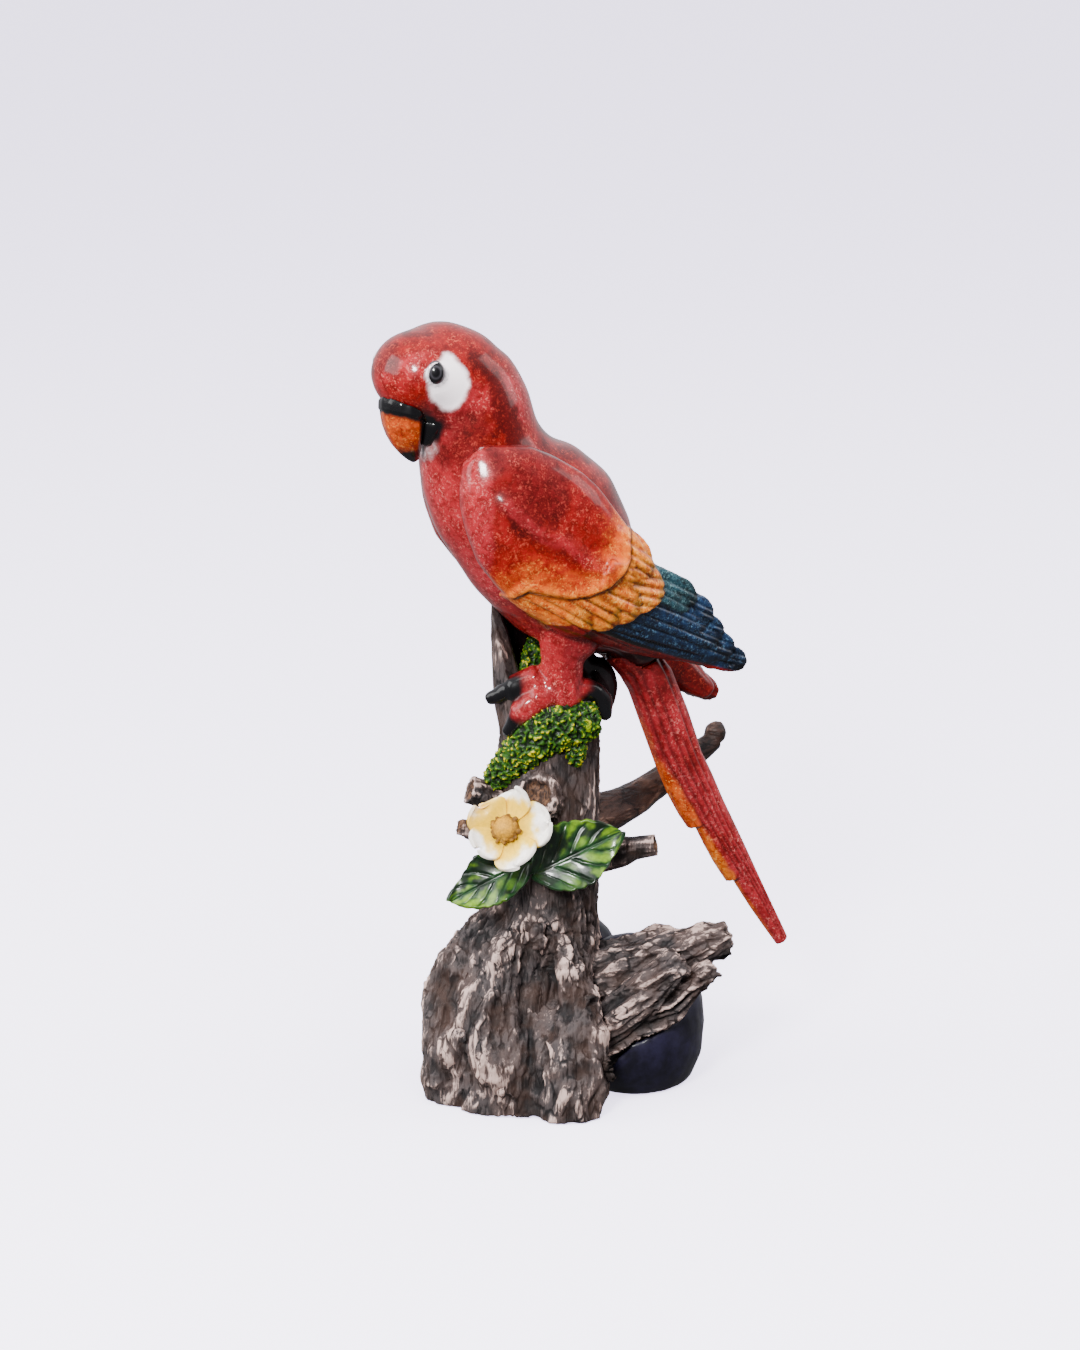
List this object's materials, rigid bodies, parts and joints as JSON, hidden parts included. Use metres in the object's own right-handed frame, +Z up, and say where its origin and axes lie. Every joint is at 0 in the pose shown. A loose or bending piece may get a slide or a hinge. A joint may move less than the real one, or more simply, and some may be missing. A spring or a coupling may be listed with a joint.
{
  "type": "parrot figurine",
  "caption": "Glazed red macaw with folded wings and a long tail, perched on a bark-textured stump with moss, an open flower, two leaves, a broken root and dark boulders.",
  "frame": {"origin": "middle of the figurine's footprint box, on the plane that its felt pads stand on", "axes": "+Z up; -Y towards the front of the figurine, where the flower is; the beak points to -X and -Y and the tail to +X"},
  "size_m": [0.1208, 0.0725, 0.228],
  "materials": {
    "red_glaze": "glossy reactive glaze, speckled",
    "feather_glaze": "glossy reactive glaze, speckled, red to orange, yellow and blue",
    "beak_glaze": "glossy reactive glaze, speckled, orange with a dark tip",
    "black_glaze": "glossy black glaze",
    "eye_gloss": "glossy black bead",
    "bark": "matt cast bark, charcoal with pale dry brushing",
    "branch_bark": "satin dark brown bark",
    "moss": "dark green with yellow-green stippling",
    "boulder": "satin blue-black",
    "petal": "satin white, yellow towards the middle",
    "stamen": "matt yellow, crumbly",
    "leaf": "glossy green with pale veins",
    "steel": "plain steel dowel",
    "wire": "plain wire",
    "felt": "green felt"
  },
  "bodies": {
    "root": {"torso": "red_glaze", "tail": "red_glaze", "leg_left": "red_glaze", "leg_right": "red_glaze", "wing_left": "feather_glaze", "wing_right": "feather_glaze", "beak_upper": "beak_glaze", "beak_lower": "black_glaze", "eye_left": "eye_gloss", "eye_right": "eye_gloss", "stump": "bark", "front_stub": "bark", "upper_left_stub": "bark", "lower_left_stub": "bark", "short_branch": "bark", "broken_root": "bark", "long_branch": "branch_bark", "moss_front": "moss", "moss_rim": "moss", "front_boulder": "boulder", "rear_boulder": "boulder", "flower_centre": "stamen", "flower_stem": "wire", "leaf_left": "leaf", "leaf_right": "leaf", "branch_pin": "steel", "leg_pin_left": "steel", "leg_pin_right": "steel", "petal_1": "petal", "petal_2": "petal", "petal_3": "petal", "petal_4": "petal", "petal_5": "petal", "felt_pad_1": "felt", "felt_pad_2": "felt", "felt_pad_3": "felt", "felt_pad_4": "felt"}
  },
  "joints": []
}
